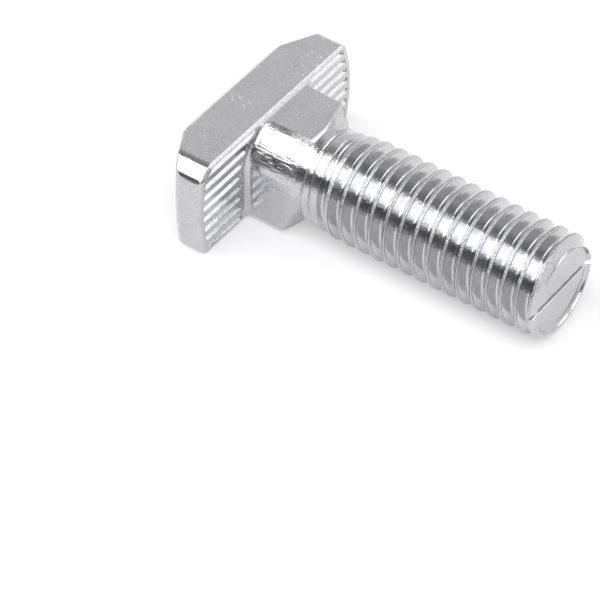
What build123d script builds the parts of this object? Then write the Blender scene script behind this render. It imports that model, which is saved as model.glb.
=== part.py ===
from build123d import *
import os
from math import ceil, radians, tan

# T slot bolt M8 x 25 with a hammer head, cold forged in one piece, its right-hand thread rolled.
# Millimetres. The bolt lies on a long side of its head: the shank runs along +X, the head's
# length along Y and its width along Z. The origin is on the shank's axis, in the bearing face.
#
# The head drops lengthwise into a slot of the profile and is turned a quarter to lock. Its two
# free corners are cut off and the neck's are round so that it can turn; the two stop corners stay
# square and end the turn against the slot's walls.

# Driving dimensions: thread and tip. The groove has the thread's pitch and flanks, at half its depth
thread_diameter = 8.0
thread_pitch = 1.25
groove_depth = 0.4
shank_length = 25.0
collar_length = 0.7
crest_rise_length = 3.1
groove_lead = 0.3
tip_chamfer = 0.45
dish_rim = 0.2
dish_wall = 0.3
dish_depth = 0.2
slot_width = 0.3
slot_depth = 0.45

# Driving dimensions: head
head_length = 19.0
head_width = 8.0
head_height = 4.5
end_wall_height = 2.1
slope_length = 4.5
end_bulge = 0.75
free_corner_cut = 0.85
stop_corner_radius = 0.4
ridge_radius = 0.9
slope_edge_radius = 0.25
outer_edge_chamfer = 0.6
bearing_edge_chamfer = 0.25

# Driving dimensions: neck
neck_step = 0.3
neck_length = 4.0
neck_turn_swell = 0.16
neck_stop_radius = 0.3
neck_root_radius = 0.5
neck_chamfer_angle = 30.0

# Driving dimensions: serrations of the bearing face
serration_pitch = 1.0
serration_depth = 0.3
land_width = 0.45
serration_end_margin = 0.65
serration_root_gap = 0.1

# Derived sizes
flank_slope = tan(radians(30.0))
thread_radius = thread_diameter / 2
root_radius = thread_radius - groove_depth
collar_radius = (thread_diameter - 0.6495 * thread_pitch) / 2
collar_end = neck_length + collar_length
groove_start = collar_end + groove_lead
neck_width = head_width - 2 * neck_step
neck_turn_radius = neck_width / 2 + neck_turn_swell
overlap = neck_length / 4
cut_clearance = serration_depth / 4


def free_corners(vertices):
    """The corners that are taken off so that the bolt can turn clockwise in its slot."""
    return vertices.filter_by(lambda corner: corner.X * corner.Y < 0)


def stop_corners(vertices):
    """The square corners that stop the turn."""
    return vertices.filter_by(lambda corner: corner.X * corner.Y > 0)


def head_outline(end_inset=0.0):
    """The head seen along the shank: straight long sides and two gently bulging ends."""
    end = head_length / 2 - end_inset
    side = head_width / 2
    corner = end - end_bulge
    with BuildSketch(Plane.YZ) as outline:
        with BuildLine():
            Line((-corner, side), (corner, side))
            ThreePointArc((corner, side), (end, 0), (corner, -side))
            Line((corner, -side), (-corner, -side))
            ThreePointArc((-corner, -side), (-end, 0), (-corner, side))
        make_face()
        fillet(stop_corners(outline.vertices()), stop_corner_radius)
        chamfer(free_corners(outline.vertices()), free_corner_cut)
    return outline.sketch


def neck_outline(margin=0.0):
    """The neck seen along the shank: a square with two corners turned off and two left square."""
    half = neck_width / 2 + margin
    with BuildSketch(Plane.YZ) as outline:
        Circle(neck_turn_radius + margin)
        with Locations((half / 2, half / 2), (-half / 2, -half / 2)):
            Rectangle(half, half)
        Rectangle(2 * half, 2 * half, mode=Mode.INTERSECT)
        fillet(outline.vertices(), neck_stop_radius + margin)
    return outline.sketch


# Head: the outline, cut to its two side profiles
with BuildPart() as head:
    extrude(head_outline(), amount=-head_height)

    # Seen along Z: both ends slope away from the outer face, down to a low end wall
    slope_rise = (head_height - end_wall_height) / slope_length
    ridge_y = head_length / 2 - slope_length
    beyond_y = head_length / 2 + end_bulge
    beyond_x = -head_height + (beyond_y - ridge_y) * slope_rise
    with BuildSketch(Plane.XY) as length_profile:
        with BuildLine():
            Polyline(
                (0, -beyond_y),
                (beyond_x, -beyond_y),
                (-head_height, -ridge_y),
                (-head_height, ridge_y),
                (beyond_x, beyond_y),
                (0, beyond_y),
                close=True,
            )
        make_face()
        fillet(length_profile.vertices().group_by(Axis.X)[0], ridge_radius)
    extrude(amount=head_width, both=True, mode=Mode.INTERSECT)

    # Seen along Y: the outer face's long edges are chamfered
    outer_z = head_width / 2 - outer_edge_chamfer
    beyond_z = head_width / 2 + outer_edge_chamfer
    chamfer_x = -head_height + 2 * outer_edge_chamfer
    with BuildSketch(Plane.XZ) as width_profile:
        with BuildLine():
            Polyline(
                (0, -beyond_z),
                (chamfer_x, -beyond_z),
                (-head_height, -outer_z),
                (-head_height, outer_z),
                (chamfer_x, beyond_z),
                (0, beyond_z),
                close=True,
            )
        make_face()
    extrude(amount=head_length, both=True, mode=Mode.INTERSECT)

    # The slopes' edges are softened, down both sides and along the end walls
    slopes = head.faces().filter_by(lambda face: abs(face.normal_at().X * face.normal_at().Y) > 0.1)
    slope_edges = slopes.filter_by(GeomType.PLANE).edges()
    fillet(slope_edges.filter_by(Axis.Z, reverse=True), slope_edge_radius)

    # The bearing face's edge is broken all round
    bearing_face = head.faces().filter_by(Axis.X).sort_by(Axis.X)[-1]
    chamfer(bearing_face.edges(), bearing_edge_chamfer)


# Neck: the square that the slot's walls hold from turning
with BuildPart() as neck:
    extrude(neck_outline(), amount=neck_length)

    # A turned chamfer cuts its far end down to the collar
    blank_radius = neck_width
    chamfer_start = neck_length - (blank_radius - collar_radius) * tan(radians(neck_chamfer_angle))
    with BuildSketch(Plane.XY):
        with BuildLine():
            Polyline(
                (0, 0),
                (0, blank_radius),
                (chamfer_start, blank_radius),
                (neck_length, collar_radius),
                (neck_length, 0),
                close=True,
            )
        make_face()
    revolve(axis=Axis.X, mode=Mode.INTERSECT)

    # Its root flares into the bearing face, except along the flats, which are nearly as wide
    # as the head. The plate only carries the radius, and its part inside the head stays.
    plate_length = neck_width + 4 * neck_root_radius
    with BuildSketch(Plane.YZ):
        Rectangle(plate_length, plate_length)
    extrude(amount=-overlap)
    plate_face = neck.faces().filter_by(Axis.X).sort_by(Axis.X)[1]
    fillet(plate_face.inner_wires()[0].edges(), neck_root_radius)
    with BuildSketch(Plane.YZ):
        Rectangle(neck_width + 3 * neck_root_radius, neck_width)
    extrude(amount=neck_length, both=True, mode=Mode.INTERSECT)


# Shank: a turned blank that rises from the collar to the crests, with a dished tip
with BuildPart() as shank:
    tip_radius = thread_radius - tip_chamfer
    dish_radius = tip_radius - dish_rim
    with BuildSketch(Plane.XY):
        with BuildLine():
            Polyline(
                (neck_length - overlap, 0),
                (neck_length - overlap, collar_radius),
                (collar_end, collar_radius),
                (collar_end + crest_rise_length, thread_radius),
                (shank_length - tip_chamfer, thread_radius),
                (shank_length, tip_radius),
                (shank_length, dish_radius),
                (shank_length - dish_depth, dish_radius - dish_wall),
                (shank_length - dish_depth, 0),
                close=True,
            )
        make_face()
    revolve(axis=Axis.X)


# One turn of the groove between the crests
with BuildPart() as groove_turn:
    path = Helix(thread_pitch, thread_pitch, root_radius, direction=(1, 0, 0))
    start = path @ 0
    outward = Vector(0, start.Y, start.Z).normalized()
    mouth_depth = groove_depth + cut_clearance
    mouth_half = mouth_depth * flank_slope
    with BuildSketch(Plane(origin=start, x_dir=outward, z_dir=outward.cross(Vector(1, 0, 0)))):
        Polygon((0, 0), (mouth_depth, -mouth_half), (mouth_depth, mouth_half), align=None)
    sweep(path=path, is_frenet=True)


# Thread: turn after turn, the groove deepens as the blank rises, and leaves through the tip
groove_turns = ceil((shank_length - groove_start) / thread_pitch) + 1
with BuildPart() as thread:
    add(shank.part)
    with Locations(*[(groove_start + turn * thread_pitch, 0, 0) for turn in range(groove_turns)]):
        add(groove_turn.part, mode=Mode.SUBTRACT)


# Serrations: V grooves along the head, between flat lands, on both wings
with BuildPart() as serrations:
    serration_half = (serration_pitch - land_width) / 2
    opening_half = serration_half * (1 + cut_clearance / serration_depth)
    grooves_a_side = int((head_width / 2 - bearing_edge_chamfer) / serration_pitch + 0.5)
    with BuildSketch(Plane.XZ):
        with GridLocations(serration_pitch, serration_pitch, 1, 2 * grooves_a_side):
            Polygon(
                (-serration_depth, 0),
                (cut_clearance, opening_half),
                (cut_clearance, -opening_half),
                align=None,
            )
    extrude(amount=head_length, both=True)
    extrude(head_outline(serration_end_margin), amount=head_height, both=True, mode=Mode.INTERSECT)
    neck_foot = neck_outline(neck_root_radius + serration_root_gap)
    extrude(neck_foot, amount=head_height, both=True, mode=Mode.SUBTRACT)


# The whole bolt, with the slot across its tip that shows how the head lies
with BuildPart() as t_slot_bolt:
    add(head.part)
    add(neck.part)
    add(serrations.part, mode=Mode.SUBTRACT)
    add(thread.part)
    with BuildSketch(Plane.YZ.offset(shank_length)):
        Rectangle(2 * thread_diameter, slot_width)
    extrude(amount=-slot_depth, mode=Mode.SUBTRACT)

t_slot_bolt.part.label = "t_slot_bolt"
os.makedirs("parts", exist_ok=True)
export_step(t_slot_bolt.part, "parts/t_slot_bolt.step")
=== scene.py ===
import math

import bmesh
import bpy
import numpy as np
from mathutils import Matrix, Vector


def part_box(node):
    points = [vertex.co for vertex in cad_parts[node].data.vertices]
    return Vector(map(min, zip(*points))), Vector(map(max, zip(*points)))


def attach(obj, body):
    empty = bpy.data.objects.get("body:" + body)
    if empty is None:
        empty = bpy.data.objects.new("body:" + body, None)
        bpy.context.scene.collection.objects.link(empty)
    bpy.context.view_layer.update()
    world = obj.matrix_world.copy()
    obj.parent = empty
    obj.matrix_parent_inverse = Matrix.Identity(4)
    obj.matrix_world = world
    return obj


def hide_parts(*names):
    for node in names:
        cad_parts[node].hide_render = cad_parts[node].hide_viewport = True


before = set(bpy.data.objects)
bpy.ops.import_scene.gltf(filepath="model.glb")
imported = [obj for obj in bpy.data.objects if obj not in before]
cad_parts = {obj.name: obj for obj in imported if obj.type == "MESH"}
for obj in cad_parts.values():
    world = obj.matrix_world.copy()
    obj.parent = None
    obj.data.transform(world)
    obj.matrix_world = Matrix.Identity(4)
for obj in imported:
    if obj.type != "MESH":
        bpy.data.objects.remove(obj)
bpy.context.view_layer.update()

MM = 0.001
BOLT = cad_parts["t_slot_bolt"]
LOW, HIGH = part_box("t_slot_bolt")

# Sizes are in millimetres: along the shank from the bearing face, or about the shank's axis.
# The thread at its full depth, its rounded root, and the crest that rolling folded to a seam
PITCH = 1.25
CREST_RADIUS = 4.0
ROOT_RADIUS = 3.233
ROOT_ROUND = 0.18
ROOT_STEPS = 4
FLANK_ANGLE = math.radians(30)
FLANK_PLACES = (0.24, 0.33, 0.42, 0.465)
CREST_SECTION = [
    (0.486, 3.900),
    (0.505, 3.938),
    (0.524, 3.968),
    (0.543, 3.990),
    (0.562, 4.0),
    (0.580, 3.995),
    (0.597, 3.974),
    (0.611, 3.945),
    (0.625, 3.925),
]
COLUMNS = 128

# The crest's lips and seam wander along the helix. Waves: radians a turn, phase, share
LIP_PLACE, LIP_DEPTH = (0.45, 0.52), 0.007
LIP_WAVE, LIP_PHASE = 19.3, 1.1
SEAM_PLACE, SEAM_DEPTH = (0.575, 0.625), 0.03
SEAM_WAVES = [(5.1, 0.0, 0.5), (13.7, 1.3, 0.3), (31.3, 0.4, 0.2)]

# The blank rises to the crests while the groove deepens. A small bead was pushed up before it
BLANK_RADIUS = 3.594
RISE_START, RISE_END = 4.7, 7.8
GROOVE_START, GROOVE_FULL = 5.0, 7.5
GROOVE_AT_TOP = 5.0
GROOVE_LEAD = 0.05
BEAD_PLACE, BEAD_LENGTH, BEAD_HEIGHT = 4.9, 0.18, 0.05

# The tip: chamfer, rim, and the dish's wall and floor as distances in from the rim and down
TIP = HIGH.x / MM
TIP_CHAMFER = 0.45
RIM_WIDTH = 0.2
LEAST_RIM = 0.06
DISH_SECTION = [(0.0, 0.0), (0.03, 0.07), (0.08, 0.14), (0.16, 0.19), (0.30, 0.205), (0.60, 0.20)]
DISH_FLOOR_RINGS = (0.66, 0.33)

# The slot across the tip, in depths from it. Its foot is narrower and its pressed lips wider
SLOT_WIDTH, SLOT_DEPTH, SLOT_WEAR = 0.3, 0.45, 0.05
SLOT_FOOT_WIDTH, SLOT_FOOT_HEIGHT = 0.03, 0.04
SLOT_WALL_TOP = 0.24
SLOT_LIP_DEPTH, SLOT_LIP_SPREAD = 0.18, 0.03
SLOT_TOP_HEIGHT, SLOT_TOP_SPREAD = 0.3, 0.12
SLOT_REACH = 6

# Where the solid's collar ends and the shank's own mesh begins
JOIN_HEAD, JOIN_THREAD = 4.3, 4.4

# The head: its measures, and the bulging end wall's arc
HEAD_HEIGHT = 4.5
HEAD_HALF_WIDTH = 4.0
RIDGE_PLACE = 5.0
SLOPE_LENGTH, SLOPE_RISE = 4.5, 2.4
WALL_RADIUS = 11.0417
WALL_CENTRE = 9.5 - WALL_RADIUS

# Both ends of the head are softened beyond END_ZONE, up to the bearing face, on a mesh that is
# cut finer at these places. The head's faces have their middles below HEAD_LIMIT
END_ZONE = 7.0
HEAD_LIMIT = 0.3
BEARING_LIMIT = 0.01
LENGTH_CUTS = [END_ZONE + 0.16 * k for k in range(17)]
WIDTH_CUTS = [2.35 + 0.14 * k for k in range(12)]
HEIGHT_CUTS = [-3.2 + 0.15 * k for k in range(21)]
SLOPE_WALL_ROUND = 0.42
WALL_BEARING_ROUND = 0.40
FREE_CORNER_ROUND, STOP_CORNER_ROUND = 1.2, 0.5
ROUNDING_PASSES = 4

# In metres: points that are closer are one, a doubled face that is smaller is a sliver, and a
# hole with no more sides than this is closed
SOLID_MERGE = 1e-6
GRID_MERGE = 2e-6
LAST_MERGE = 1.5e-6
CUT_SNAP = 1e-7
SAME_PLACE = 1e-6
SLIVER_AREA = 1e-10
LARGEST_HOLE = 8

# Shading: an edge this sharp stays hard, and a face this large keeps its own normal
SHARP_ANGLE = math.radians(24)
FLAT_AREA = 2.5 * MM * MM

# The plating's colours and roughness, from dull patches to clear ones, and bared in a scratch
DULL_ZINC, CLEAR_ZINC = (0.455, 0.455, 0.471, 1), (0.605, 0.605, 0.622, 1)
BARED_ZINC = (0.92, 0.92, 0.93, 1)
LEAST_ROUGH, MOST_ROUGH = 0.12, 0.22

# The plating's textures: cells a metre, detail, roughness and bend of the noise
GRAIN = (5200.0, 3.0, 0.65)
CLOUD = (420.0, 3.0)
FINISH = (900.0, 4.0)
PATCH = (330.0, 1.0)
PEEL, PEEL_DEPTH = (1500.0, 2.0), 0.014
FINE_GRAIN, FINE_GRAIN_DEPTH = (6500.0, 2.0, 0.6), 0.011
NICK, NICK_DEPTH = (8200.0, 2.0, 0.6), 0.055

# Scratches and ripples run along something: their noise is stretched instead
SCRATCH, SCRATCH_DEPTH = (1.0, 2.0, 0.5, 0.6), 0.004
SCRATCH_STRETCH, SCRATCH_TURN = (1300.0, 8500.0, 8500.0), 27.0
RIPPLE, RIPPLE_DEPTH = (1.0, 2.0, 0.6), 0.045
RIPPLE_STRETCH = (700.0, 4600.0, 4600.0)

# The middle of a noise, where nearly all its values are
NOISE_LOW, NOISE_HIGH = 0.3, 0.7

# The studio in directions. The room's brightness over the bolt, in degrees about its axis: 0 is
# behind, 90 overhead and 180 in front. Then the softbox overhead and the one behind on the right
ROOM = [
    (0, 1.10),
    (20, 0.90),
    (38, 0.86),
    (50, 0.90),
    (60, 0.58),
    (70, 0.32),
    (90, 0.26),
    (138, 0.16),
    (146, 0.08),
    (156, 0.08),
    (168, 0.20),
    (180, 0.34),
]
STRIP = [(91, 0.0), (96, 1.0), (138, 1.0), (143, 0.0)]
STRIP_ENDS = [(0.78, 1.0), (0.90, 0.0)]
STRIP_COLOUR = (4.116, 4.116, 4.2, 1)
BOX_LENGTH = [(0.05, 0.0), (0.16, 1.0), (0.74, 1.0), (0.86, 0.0)]
BOX_WIDTH = [(0.10, 0.0), (0.25, 1.0), (0.72, 1.0), (0.82, 0.0)]
BOX_HEIGHT = [(0.32, 0.0), (0.44, 0.36), (0.62, 1.0)]
BOX_COLOUR = (2.6, 2.6, 2.65, 1)
ROOM_TINT = 0.985

# The table's paper: what it reflects, and what it glows so that it is as bright as the room
PAPER_GREY = (0.43, 0.43, 0.43, 1)
PAPER_GLOW = 0.37
TABLE_SIZE = 4.0


def straight(x, low, high):
    """A straight rise from 0 at low to 1 at high."""
    return np.clip((x - low) / (high - low), 0, 1)


def smooth(x, low, high):
    """A soft rise from 0 at low to 1 at high."""
    t = straight(x, low, high)
    return t * t * (3 - 2 * t)


def groove_section():
    """Half the thread's section: distance from the groove's middle, and radius there."""
    tangent = ROOT_ROUND * math.cos(FLANK_ANGLE)
    foot = ROOT_RADIUS + ROOT_ROUND / 2
    points = []
    for step in range(ROOT_STEPS + 1):
        angle = math.radians(60) * step / ROOT_STEPS
        rise = ROOT_ROUND * (1 - math.cos(angle))
        points.append((ROOT_ROUND * math.sin(angle), ROOT_RADIUS + rise))
    for place in FLANK_PLACES:
        points.append((place, foot + (place - tangent) / math.tan(FLANK_ANGLE)))
    return points + CREST_SECTION


def thread_grid():
    """The shank from the collar to the tip's rim: a helical grid whose rows follow the thread."""
    half = groove_section()
    offsets = np.array([-u for u, _ in reversed(half)][1:] + [u for u, _ in half][1:])
    turns = int((TIP - JOIN_THREAD) / PITCH) + 3
    theta = 2 * math.pi * np.arange(COLUMNS) / COLUMNS
    lead = PITCH * (theta - math.pi / 2) / (2 * math.pi)
    start = GROOVE_AT_TOP - 2 * PITCH
    rows_x = np.concatenate([start + PITCH * k + offsets for k in range(turns + 1)])
    x = np.clip(rows_x[:, None] + lead[None, :], JOIN_THREAD, TIP)

    # the radius follows from the place along the helix, also where a row stops at an end
    place = (x - lead[None, :] - GROOVE_AT_TOP) / PITCH + 0.5
    u = (place - np.floor(place) - 0.5) * PITCH
    r = np.interp(np.abs(u), [v for v, _ in half], [v for _, v in half])

    # the rolled crest's lips and seam
    along = np.floor(place) + theta[None, :] / (2 * math.pi)
    wander = sum(np.sin(along * wave + phase) * part for wave, phase, part in SEAM_WAVES)
    lip_wave = np.sin(along * LIP_WAVE + np.sign(u) * LIP_PHASE)
    lips = smooth(np.abs(u), *LIP_PLACE) * (LIP_DEPTH + LIP_DEPTH * lip_wave)
    seam = smooth(np.abs(u), *SEAM_PLACE) * SEAM_DEPTH * (1 + wander)
    r = r - lips - seam

    # the groove deepens in a blank that rises, and both end in the tip's chamfer
    shallow = (1 - straight(x, GROOVE_START, GROOVE_FULL)) * (BLANK_RADIUS - ROOT_RADIUS)
    blank = BLANK_RADIUS + (CREST_RADIUS - BLANK_RADIUS) * straight(x, RISE_START, RISE_END)
    bead = BEAD_HEIGHT * np.exp(-(((x - BEAD_PLACE) / BEAD_LENGTH) ** 2))
    groove = np.where(x < GROOVE_START - GROOVE_LEAD, np.inf, r + shallow)
    chamfer = CREST_RADIUS - np.clip(x - (TIP - TIP_CHAMFER), 0, None)
    r = np.minimum(np.minimum(blank + bead, groove), chamfer)
    return x, r, theta


def cut_head(bm, axis, place):
    """Cuts the faces at the head's ends finer, in a plane across one axis."""
    normal, point = [0.0, 0.0, 0.0], [0.0, 0.0, 0.0]
    normal[axis] = 1.0
    point[axis] = place * MM
    near = [
        face
        for face in bm.faces
        if face.calc_center_median().x < HEAD_LIMIT * MM
        and max(abs(v.co.y) for v in face.verts) > END_ZONE * MM + SAME_PLACE
    ]
    parts = list({part for face in near for part in (face, *face.edges, *face.verts)})
    bmesh.ops.bisect_plane(bm, geom=parts, dist=CUT_SNAP, plane_co=point, plane_no=normal)


def over_faces(p):
    """A point's heights over the head's four kinds of faces at an end, with their normals."""
    slope = Vector((-SLOPE_LENGTH, SLOPE_RISE)).normalized()
    from_ridge = (p.x + HEAD_HEIGHT) * slope.x + (abs(p.y) - RIDGE_PLACE) * slope.y
    radial = Vector((0, abs(p.y) - WALL_CENTRE, p.z))
    side = 1 if p.z > 0 else -1
    return {
        "slope": (from_ridge, Vector((slope.x, slope.y, 0))),
        "wall": (radial.length - WALL_RADIUS, radial.normalized()),
        "bearing": (p.x, Vector((1, 0, 0))),
        "side": (abs(p.z) - HEAD_HALF_WIDTH, Vector((0, 0, side))),
    }


def rounded(p, first, second, radius):
    """A point moved inwards until the edge between two faces has its radius."""
    for _ in range(ROUNDING_PASSES):
        over = over_faces(p)
        (d1, n1), (d2, n2) = over[first], over[second]
        a, b = max(d1 + radius, 0), max(d2 + radius, 0)
        outside = math.hypot(a, b) - radius
        if a == 0 or b == 0 or outside <= 0:
            break
        p = p - (n1 * a + n2 * b).normalized() * outside
    return p


def soften_ends(bm):
    """The forged head's corners at both ends, rounded on a finer mesh: never outside the solid."""
    for sign in (-1, 1):
        for place in LENGTH_CUTS:
            cut_head(bm, 1, sign * place)
        for place in WIDTH_CUTS:
            cut_head(bm, 2, sign * place)
    for place in HEIGHT_CUTS:
        cut_head(bm, 0, place)

    for v in bm.verts:
        if abs(v.co.y) < END_ZONE * MM or v.co.x > BEARING_LIMIT * MM:
            continue
        mirror = 1 if v.co.y > 0 else -1
        corner = FREE_CORNER_ROUND if v.co.y * v.co.z < 0 else STOP_CORNER_ROUND
        p = Vector((v.co.x / MM, abs(v.co.y) / MM, v.co.z / MM))
        p = rounded(p, "slope", "wall", SLOPE_WALL_ROUND)
        p = rounded(p, "wall", "bearing", WALL_BEARING_ROUND)
        p = rounded(p, "side", "wall", corner)
        v.co = Vector((p.x * MM, mirror * p.y * MM, p.z * MM))


def add_head(bm):
    """The solid's head and neck, cut off in the collar. Gives the cut's edges."""
    bm.from_mesh(BOLT.data)
    bmesh.ops.remove_doubles(bm, verts=bm.verts, dist=SOLID_MERGE)
    cut = bmesh.ops.bisect_plane(
        bm,
        geom=bm.verts[:] + bm.edges[:] + bm.faces[:],
        dist=CUT_SNAP,
        plane_co=(JOIN_HEAD * MM, 0, 0),
        plane_no=(1, 0, 0),
        clear_outer=True,
    )
    rim = [part for part in cut["geom_cut"] if isinstance(part, bmesh.types.BMEdge)]
    soften_ends(bm)
    return rim


def add_thread(bm):
    """The threaded shank, its last column joined to its first one turn on. Gives its points."""
    x, r, theta = thread_grid()
    rows, columns = x.shape
    rows_a_turn = 2 * len(groove_section()) - 2
    grid = []
    for j in range(columns):
        c, s = math.cos(theta[j]), math.sin(theta[j])
        places = [(x[i, j] * MM, r[i, j] * MM * c, r[i, j] * MM * s) for i in range(rows)]
        grid.append([bm.verts.new(place) for place in places])
    for j in range(columns):
        wrap = rows_a_turn if j == columns - 1 else 0
        left, right = grid[j], grid[(j + 1) % columns]
        for i in range(rows - 1 - wrap):
            bm.faces.new((left[i], right[i + wrap], right[i + 1 + wrap], left[i + 1]))
    points = [v for column in grid for v in column]
    bmesh.ops.remove_doubles(bm, verts=points, dist=GRID_MERGE)
    return [v for v in points if v.is_valid]


def open_ring(points, place):
    """The open edges of the shank at one of its ends."""
    edges = {e for v in points for e in v.link_edges if len(e.link_faces) == 1}
    return [e for e in edges if all(abs(v.co.x - place * MM) < SAME_PLACE for v in e.verts)]


def add_tip(bm, edge):
    """The tip's rim and its dish, from the shank's open edge to the closed floor."""
    points = {v for e in edge for v in e.verts}
    outer = sorted(points, key=lambda v: math.atan2(v.co.z, v.co.y))
    rim = (CREST_RADIUS - TIP_CHAMFER - RIM_WIDTH) * MM
    loops = [outer]
    for inset, depth in DISH_SECTION:
        loop = []
        for v in outer:
            radius = math.hypot(v.co.y, v.co.z)
            place = min(rim, radius - LEAST_RIM * MM) - inset * MM
            y, z = v.co.y * place / radius, v.co.z * place / radius
            loop.append(bm.verts.new(((TIP - depth) * MM, y, z)))
        loops.append(loop)
    foot = loops[-1]
    for size in DISH_FLOOR_RINGS:
        loops.append([bm.verts.new((v.co.x, v.co.y * size, v.co.z * size)) for v in foot])
    for a, b in zip(loops, loops[1:]):
        for k in range(len(a)):
            m = (k + 1) % len(a)
            bm.faces.new((a[k], a[m], b[m], b[k]))
    bm.faces.new(loops[-1])


def to_mesh(bm, name):
    """Turns all faces outwards and gives the result as a mesh."""
    bmesh.ops.recalc_face_normals(bm, faces=bm.faces)
    mesh = bpy.data.meshes.new(name)
    bm.to_mesh(mesh)
    bm.free()
    return mesh


def bolt_mesh():
    """The whole bolt as one mesh, before the slot is cut."""
    bm = bmesh.new()
    rim = add_head(bm)
    shank = add_thread(bm)
    bmesh.ops.bridge_loops(bm, edges=rim + open_ring(shank, JOIN_THREAD))
    add_tip(bm, open_ring(shank, TIP))
    return to_mesh(bm, "bolt_visual")


def close(mesh):
    """Merges what the cuts left doubled and closes the slivers between."""
    bm = bmesh.new()
    bm.from_mesh(mesh)
    bmesh.ops.remove_doubles(bm, verts=bm.verts, dist=LAST_MERGE)
    bmesh.ops.dissolve_degenerate(bm, edges=bm.edges, dist=LAST_MERGE)
    crowded = {e for e in bm.edges if len(e.link_faces) > 2}
    slivers = [
        face
        for face in bm.faces
        if sum(e in crowded for e in face.edges) >= 2 and face.calc_area() < SLIVER_AREA
    ]
    bmesh.ops.delete(bm, geom=slivers, context="FACES")
    border = [e for e in bm.edges if len(e.link_faces) == 1]
    bmesh.ops.holes_fill(bm, edges=border, sides=LARGEST_HOLE)
    bmesh.ops.delete(bm, geom=[e for e in bm.edges if not e.link_faces], context="EDGES")
    bmesh.ops.delete(bm, geom=[v for v in bm.verts if not v.link_edges], context="VERTS")
    bmesh.ops.recalc_face_normals(bm, faces=bm.faces)
    bm.to_mesh(mesh)
    bm.free()


def slot_mesh():
    """The room of the slot: a bar across the tip that widens at its pressed lips."""
    half = SLOT_WIDTH / 2 + SLOT_WEAR
    section = [
        (TIP - SLOT_DEPTH, half - SLOT_FOOT_WIDTH),
        (TIP - SLOT_DEPTH + SLOT_FOOT_HEIGHT, half),
        (TIP - SLOT_WALL_TOP, half),
        (TIP - SLOT_LIP_DEPTH, half + SLOT_LIP_SPREAD),
        (TIP + SLOT_TOP_HEIGHT, half + SLOT_TOP_SPREAD),
    ]
    outline = section + [(x, -z) for x, z in reversed(section)]
    bm = bmesh.new()
    near, far = [
        [bm.verts.new((x * MM, y * MM, z * MM)) for x, z in outline]
        for y in (-SLOT_REACH, SLOT_REACH)
    ]
    for k in range(len(outline)):
        m = (k + 1) % len(outline)
        bm.faces.new((near[k], near[m], far[m], far[k]))
    bm.faces.new(near)
    bm.faces.new(far)
    return to_mesh(bm, "slot")


def cut_slot(obj):
    """Cuts the slot across the tip, as a boolean that is applied at once."""
    cutter = bpy.data.objects.new("slot", slot_mesh())
    bpy.context.scene.collection.objects.link(cutter)
    bpy.context.view_layer.update()
    boolean = obj.modifiers.new("slot", "BOOLEAN")
    boolean.operation = "DIFFERENCE"
    boolean.solver = "EXACT"
    boolean.object = cutter
    graph = bpy.context.evaluated_depsgraph_get()
    result = bpy.data.meshes.new_from_object(obj.evaluated_get(graph))
    obj.modifiers.clear()
    obj.data = result
    bpy.data.objects.remove(cutter)


def shade(mesh):
    """Smooth shading in which a flat face keeps its own normal and only what joins it bends."""
    for polygon in mesh.polygons:
        polygon.use_smooth = True
    mesh.set_sharp_from_angle(angle=SHARP_ANGLE)
    normals = [Vector(corner.vector) for corner in mesh.corner_normals]

    # the area of each plane, and the large flat faces around each point
    planes, keys = {}, []
    for polygon in mesh.polygons:
        n = polygon.normal
        height = round(n.dot(polygon.center) / MM, 1)
        key = (round(n.x, 2), round(n.y, 2), round(n.z, 2), height)
        keys.append(key)
        planes[key] = planes.get(key, 0.0) + polygon.area
    area = [planes[key] for key in keys]
    around = {}
    for polygon in mesh.polygons:
        if area[polygon.index] > FLAT_AREA:
            for v in polygon.vertices:
                around.setdefault(v, []).append(polygon.index)

    least = math.cos(SHARP_ANGLE)
    for polygon in mesh.polygons:
        if polygon.center.x > JOIN_HEAD * MM:
            continue
        for loop in polygon.loop_indices:
            if area[polygon.index] > FLAT_AREA:
                normals[loop] = polygon.normal.copy()
                continue
            flats = [
                k
                for k in around.get(mesh.loops[loop].vertex_index, ())
                if mesh.polygons[k].normal.dot(polygon.normal) > least
            ]
            if flats:
                widest = max(flats, key=lambda k: area[k])
                normals[loop] = mesh.polygons[widest].normal.copy()
    mesh.normals_split_custom_set([tuple(n) for n in normals])


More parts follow.
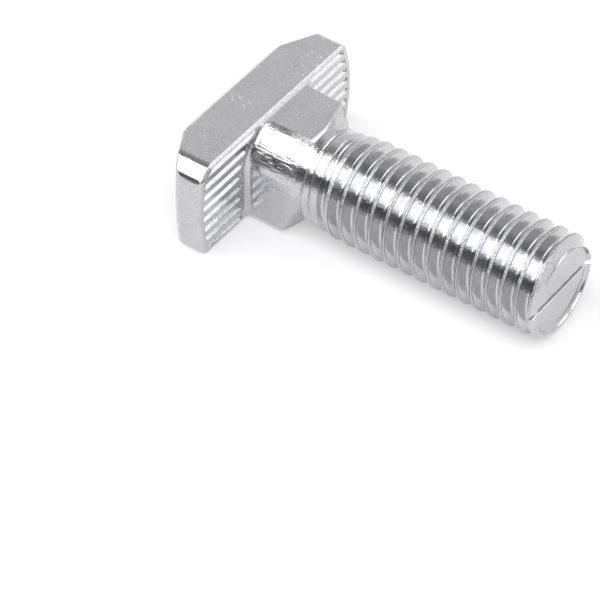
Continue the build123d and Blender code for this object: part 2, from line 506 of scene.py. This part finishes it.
class Graph:
    """Adds nodes to a material or world. An input takes a value or another node's output."""

    def __init__(self, owner):
        owner.use_nodes = True
        self.nodes = owner.node_tree.nodes
        self.links = owner.node_tree.links

    def fill(self, node, inputs):
        for name, given in inputs.items():
            if isinstance(given, bpy.types.NodeSocket):
                self.links.new(given, node.inputs[name])
            else:
                node.inputs[name].default_value = given
        return node

    def add(self, kind, inputs):
        return self.fill(self.nodes.new(kind), inputs)

    def maths(self, operation, a, b=0.0):
        node = self.nodes.new("ShaderNodeMath")
        node.operation = operation
        return self.fill(node, {0: a, 1: b}).outputs[0]

    def mix(self, factor, a, b):
        """A colour between two."""
        node = self.nodes.new("ShaderNodeMix")
        node.data_type = "RGBA"
        return self.fill(node, {"Factor": factor, "A": a, "B": b}).outputs["Result"]

    def spread(self, value, low, high, to_low, to_high):
        """What lies between low and high, spread evenly between two other values."""
        inputs = {"Value": value, "From Min": low, "From Max": high}
        inputs.update({"To Min": to_low, "To Max": to_high})
        return self.add("ShaderNodeMapRange", inputs).outputs["Result"]

    def noise(self, place, scale, detail=2.0, rough=0.5, bend=0.0):
        inputs = {"Vector": place, "Scale": scale, "Detail": detail}
        inputs.update({"Roughness": rough, "Distortion": bend})
        return self.add("ShaderNodeTexNoise", inputs).outputs["Fac"]

    def turned(self, place, degrees):
        inputs = {"Vector": place, "Rotation": (0.0, 0.0, math.radians(degrees))}
        return self.add("ShaderNodeMapping", inputs).outputs["Vector"]

    def stretched(self, place, scale):
        inputs = {"Vector": place, "Scale": scale}
        return self.add("ShaderNodeMapping", inputs).outputs["Vector"]

    def ramp(self, value, stops):
        """Brightness, a little bluish, as it changes with a value from 0 to 1."""
        node = self.add("ShaderNodeValToRGB", {"Fac": value})
        node.color_ramp.interpolation = "EASE"
        elements = node.color_ramp.elements
        while len(elements) < len(stops):
            elements.new(0.5)
        for element, (place, level) in zip(elements, stops):
            element.position = place
            element.color = (level * ROOM_TINT, level * ROOM_TINT, level, 1)
        return node.outputs["Color"]


def zinc_material():
    """Bright zinc over steel."""
    material = bpy.data.materials.new("zinc_steel")
    graph = Graph(material)
    maths, spread, noise = graph.maths, graph.spread, graph.noise
    place = graph.add("ShaderNodeTexCoord", {}).outputs["Object"]
    x, y, z = graph.add("ShaderNodeSeparateXYZ", {"Vector": place}).outputs
    across, up = maths("ABSOLUTE", y), maths("ABSOLUTE", z)

    # cloudy, finely grained plating, with patches that are finer and duller
    grain = spread(noise(place, *GRAIN), NOISE_LOW, NOISE_HIGH, 0.0, 0.8)
    cloud = spread(noise(place, *CLOUD), NOISE_LOW, NOISE_HIGH, -0.1, 0.3)
    tint = graph.mix(maths("ADD", grain, cloud), DULL_ZINC, CLEAR_ZINC)
    rough = spread(noise(place, *FINISH), NOISE_LOW, NOISE_HIGH, LEAST_ROUGH, MOST_ROUGH)

    # pale hairline scratches, in patches on the head's long sides
    on_side = spread(up, 3.93 * MM, 3.97 * MM, 0.0, 1.0)
    hair_place = graph.stretched(graph.turned(place, SCRATCH_TURN), SCRATCH_STRETCH)
    hair = spread(noise(hair_place, *SCRATCH), 0.62, 0.66, 0.0, 1.0)
    patch = spread(noise(place, *PATCH), 0.50, 0.56, 0.0, 1.0)
    marks = maths("MULTIPLY", maths("MULTIPLY", hair, patch), on_side)
    colour = graph.mix(marks, tint, BARED_ZINC)

    # the forging rippled the neck's round corners, between the head and the shank
    within = spread(maths("MAXIMUM", across, up), 3.55 * MM, 3.64 * MM, 1.0, 0.0)
    off_head = spread(x, 0.3 * MM, 0.5 * MM, 0.0, 1.0)
    off_shank = spread(x, 3.7 * MM, 4.0 * MM, 1.0, 0.0)
    rippled = maths("MULTIPLY", maths("MULTIPLY", within, off_head), off_shank)
    ripples = noise(graph.stretched(place, RIPPLE_STRETCH), *RIPPLE)
    ripples = maths("MULTIPLY", ripples, rippled)

    # the rolled crests are nicked
    squares = maths("ADD", maths("MULTIPLY", across, across), maths("MULTIPLY", up, up))
    on_crest = spread(maths("SQRT", squares), 3.84 * MM, 3.90 * MM, 0.0, 1.0)
    on_shank = spread(x, 4.6 * MM, 5.2 * MM, 0.0, 1.0)
    nicks = maths("MULTIPLY", noise(place, *NICK), maths("MULTIPLY", on_crest, on_shank))

    # relief over softened edges, which are sharper on the shank
    edge_radius = spread(x, 3.8 * MM, 4.4 * MM, 0.13 * MM, 0.05 * MM)
    soft = graph.add("ShaderNodeBevel", {"Radius": edge_radius})
    soft.samples = 6
    normal = soft.outputs["Normal"]
    reliefs = [
        (noise(place, *PEEL), PEEL_DEPTH),
        (noise(place, *FINE_GRAIN), FINE_GRAIN_DEPTH),
        (marks, SCRATCH_DEPTH),
        (ripples, RIPPLE_DEPTH),
        (nicks, NICK_DEPTH),
    ]
    for relief, depth in reliefs:
        inputs = {"Strength": 1.0, "Distance": depth * MM, "Height": relief, "Normal": normal}
        normal = graph.add("ShaderNodeBump", inputs).outputs["Normal"]

    inputs = {"Metallic": 1.0, "Base Color": colour, "Roughness": rough, "Normal": normal}
    graph.fill(graph.nodes["Principled BSDF"], inputs)
    return material


def paper_material():
    """White paper that keeps its shadow."""
    material = bpy.data.materials.new("paper")
    graph = Graph(material)
    graph.nodes.clear()
    path = graph.add("ShaderNodeLightPath", {}).outputs
    seen = graph.maths("MAXIMUM", path["Is Camera Ray"], path["Is Glossy Ray"])
    seen = graph.maths("MAXIMUM", seen, path["Is Transmission Ray"])
    strength = graph.maths("MULTIPLY", seen, PAPER_GLOW)
    diffuse = graph.add("ShaderNodeBsdfDiffuse", {"Color": PAPER_GREY})
    glow = graph.add("ShaderNodeEmission", {"Color": (1.0, 1.0, 1.0, 1), "Strength": strength})
    both = graph.add("ShaderNodeAddShader", {0: diffuse.outputs[0], 1: glow.outputs[0]})
    graph.add("ShaderNodeOutputMaterial", {"Surface": both.outputs[0]})
    return material


def studio_world():
    """A pale room, darker above and in front, where the camera stands, with two softboxes."""
    world = bpy.data.worlds.new("studio")
    graph = Graph(world)
    maths, ramp = graph.maths, graph.ramp
    direction = graph.add("ShaderNodeTexCoord", {}).outputs["Generated"]
    x, y, z = graph.add("ShaderNodeSeparateXYZ", {"Vector": direction}).outputs
    angle = maths("DIVIDE", maths("ARCTAN2", z, y), math.pi)
    room = ramp(angle, [(degrees / 180, level) for degrees, level in ROOM])
    strip = ramp(angle, [(degrees / 180, level) for degrees, level in STRIP])
    strip = maths("MULTIPLY", strip, ramp(maths("ABSOLUTE", x), STRIP_ENDS))
    box = maths("MULTIPLY", ramp(x, BOX_LENGTH), ramp(y, BOX_WIDTH))
    box = maths("MULTIPLY", box, ramp(z, BOX_HEIGHT))
    lit = graph.mix(box, graph.mix(strip, room, STRIP_COLOUR), BOX_COLOUR)
    graph.fill(graph.nodes["Background"], {"Color": lit, "Strength": 1.0})
    return world


# The bolt: the slot's cut needs a closed mesh, and leaves slivers of its own
bolt = bpy.data.objects.new("bolt", bolt_mesh())
bpy.context.scene.collection.objects.link(bolt)
close(bolt.data)
cut_slot(bolt)
close(bolt.data)
shade(bolt.data)
bolt.data.materials.clear()
bolt.data.materials.append(zinc_material())
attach(bolt, "root")
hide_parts("t_slot_bolt")

# The table
bpy.ops.mesh.primitive_plane_add(size=TABLE_SIZE, location=(0, 0, LOW.z))
floor = bpy.context.object
floor.name = "floor"
floor.data.materials.append(paper_material())

bpy.context.scene.world = studio_world()

# The camera, where the photograph's stood
camera_data = bpy.data.cameras.new("camera")
camera_data.lens = 227.3
camera_data.sensor_width = 36.0
camera_data.clip_start = 0.01
camera = bpy.data.objects.new("camera", camera_data)
camera.location = (0.12254, -0.16494, 0.18545)
camera.rotation_euler = (math.radians(45.65), math.radians(0.064), math.radians(36.08))
bpy.context.scene.collection.objects.link(camera)
bpy.context.scene.camera = camera
bpy.context.scene.view_settings.view_transform = "Standard"

bpy.context.view_layer.update()
